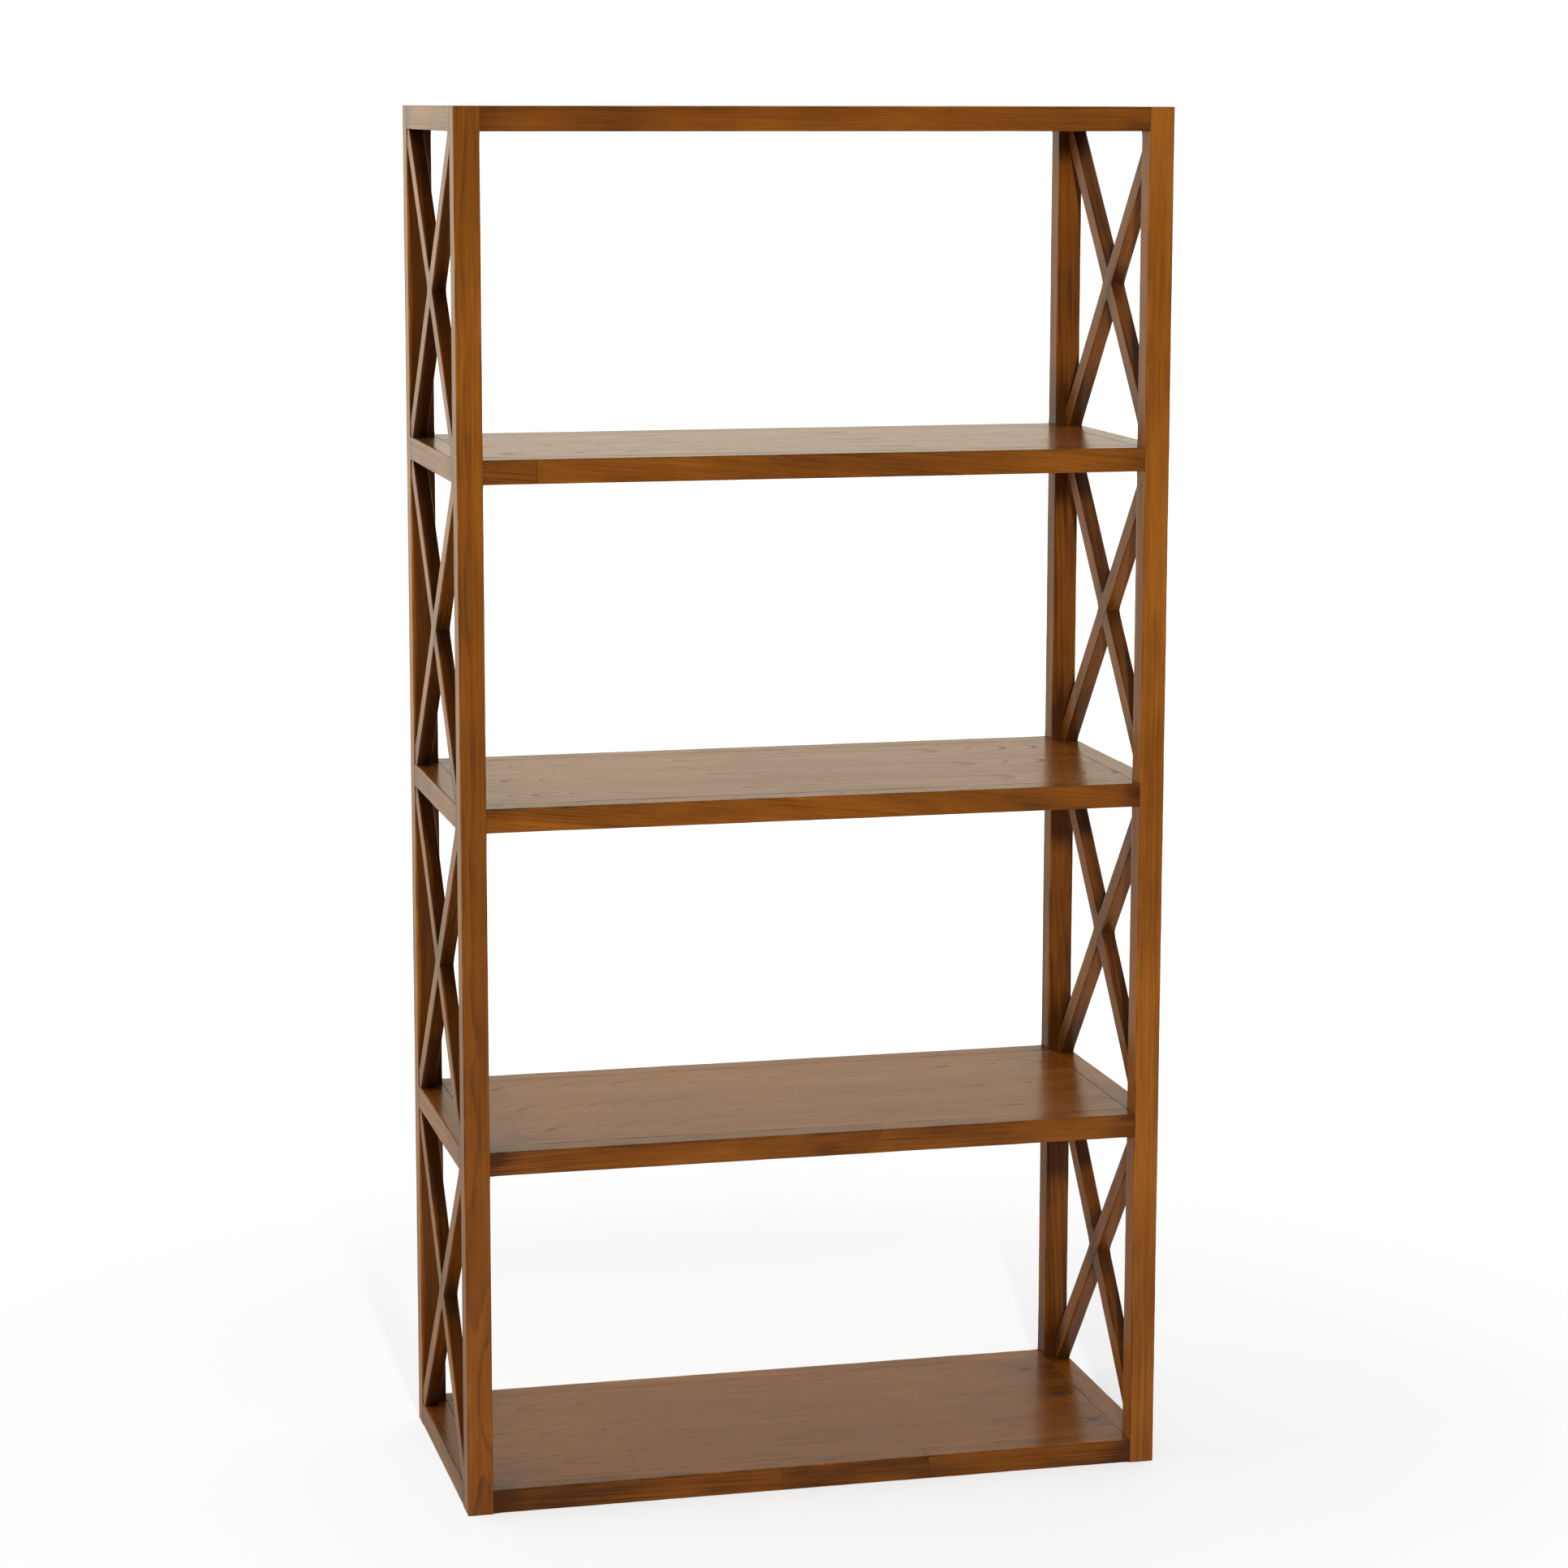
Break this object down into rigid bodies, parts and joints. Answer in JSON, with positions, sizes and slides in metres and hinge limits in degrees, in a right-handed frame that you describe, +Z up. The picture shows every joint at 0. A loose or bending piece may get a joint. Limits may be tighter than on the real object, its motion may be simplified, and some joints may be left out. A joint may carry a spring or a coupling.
{
  "type": "shelving unit",
  "caption": "Tall open wooden shelving unit: square posts, framed shelf panels flush with their rails, crossed braces on both sides, open front and back.",
  "frame": {"origin": "centre of the footprint, on the floor", "axes": "+X along the width to the right seen from the front, +Y to the rear, +Z up"},
  "size_m": [0.9, 0.4, 1.74],
  "materials": {
    "post_wood": "satin stained hardwood, grain along the post",
    "rail_wood": "satin stained hardwood, grain along the rail",
    "panel_wood": "satin stained hardwood, grain along the shelf",
    "brace_wood": "satin stained hardwood, grain along the brace"
  },
  "bodies": {
    "root": {"front_left_post": "post_wood", "front_right_post": "post_wood", "rear_left_post": "post_wood", "rear_right_post": "post_wood", "bottom_shelf_front_rail": "rail_wood", "bottom_shelf_rear_rail": "rail_wood", "bottom_shelf_left_rail": "rail_wood", "bottom_shelf_right_rail": "rail_wood", "bottom_shelf_panel": "panel_wood", "lower_shelf_front_rail": "rail_wood", "lower_shelf_rear_rail": "rail_wood", "lower_shelf_left_rail": "rail_wood", "lower_shelf_right_rail": "rail_wood", "lower_shelf_panel": "panel_wood", "middle_shelf_front_rail": "rail_wood", "middle_shelf_rear_rail": "rail_wood", "middle_shelf_left_rail": "rail_wood", "middle_shelf_right_rail": "rail_wood", "middle_shelf_panel": "panel_wood", "upper_shelf_front_rail": "rail_wood", "upper_shelf_rear_rail": "rail_wood", "upper_shelf_left_rail": "rail_wood", "upper_shelf_right_rail": "rail_wood", "upper_shelf_panel": "panel_wood", "top_front_rail": "rail_wood", "top_rear_rail": "rail_wood", "top_left_rail": "rail_wood", "top_right_rail": "rail_wood", "top_panel": "panel_wood", "left_first_bay_rising_brace": "brace_wood", "left_first_bay_falling_brace": "brace_wood", "left_second_bay_rising_brace": "brace_wood", "left_second_bay_falling_brace": "brace_wood", "left_third_bay_rising_brace": "brace_wood", "left_third_bay_falling_brace": "brace_wood", "left_fourth_bay_rising_brace": "brace_wood", "left_fourth_bay_falling_brace": "brace_wood", "right_first_bay_rising_brace": "brace_wood", "right_first_bay_falling_brace": "brace_wood", "right_second_bay_rising_brace": "brace_wood", "right_second_bay_falling_brace": "brace_wood", "right_third_bay_rising_brace": "brace_wood", "right_third_bay_falling_brace": "brace_wood", "right_fourth_bay_rising_brace": "brace_wood", "right_fourth_bay_falling_brace": "brace_wood"}
  },
  "joints": []
}
